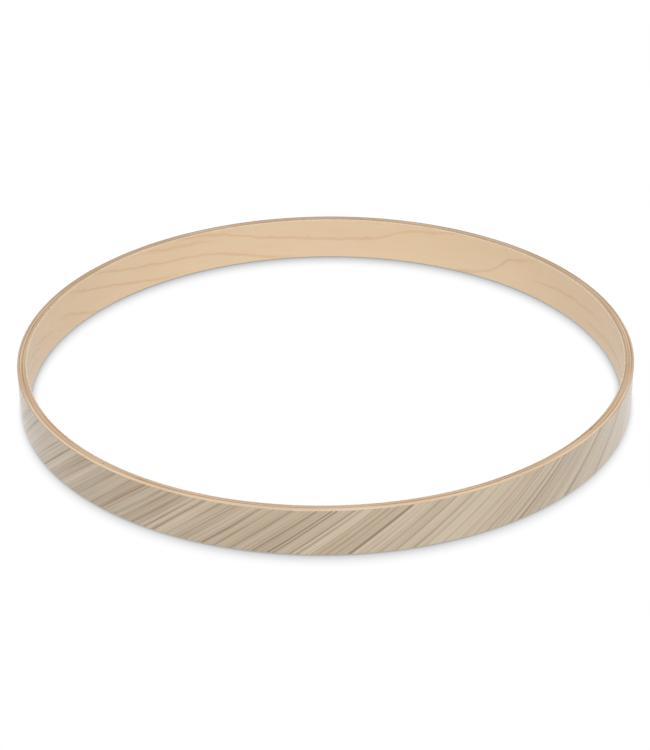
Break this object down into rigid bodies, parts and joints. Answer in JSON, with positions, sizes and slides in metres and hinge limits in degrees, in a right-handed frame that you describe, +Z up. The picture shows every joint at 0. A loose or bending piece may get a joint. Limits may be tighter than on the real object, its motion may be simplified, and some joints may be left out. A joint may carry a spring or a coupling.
{
  "type": "bass drum hoop",
  "caption": "Round bass drum hoop of laminated maple with a film wrap, which clamps a drumhead onto the shell.",
  "frame": {"origin": "on the ring's axis, in the plane of the lower edge it stands on", "axes": "+Z up along the ring's axis; -Y towards the side that shows in front"},
  "size_m": [0.587, 0.587, 0.044],
  "materials": {
    "maple_face": "satin clear coat over plain maple",
    "maple_long_grain": "satin clear coat over a sanded ply edge",
    "maple_cross_grain": "satin clear coat over sanded end grain",
    "wrap_film": "satin film printed with slanting grey-brown streaks"
  },
  "bodies": {
    "root": {"ply_1_inner_face": "maple_face", "ply_2_cross": "maple_cross_grain", "ply_3_long": "maple_long_grain", "ply_4_cross": "maple_cross_grain", "ply_5_long": "maple_long_grain", "ply_6_cross": "maple_cross_grain", "ply_7_outer": "maple_long_grain", "finish_wrap": "wrap_film"}
  },
  "joints": []
}
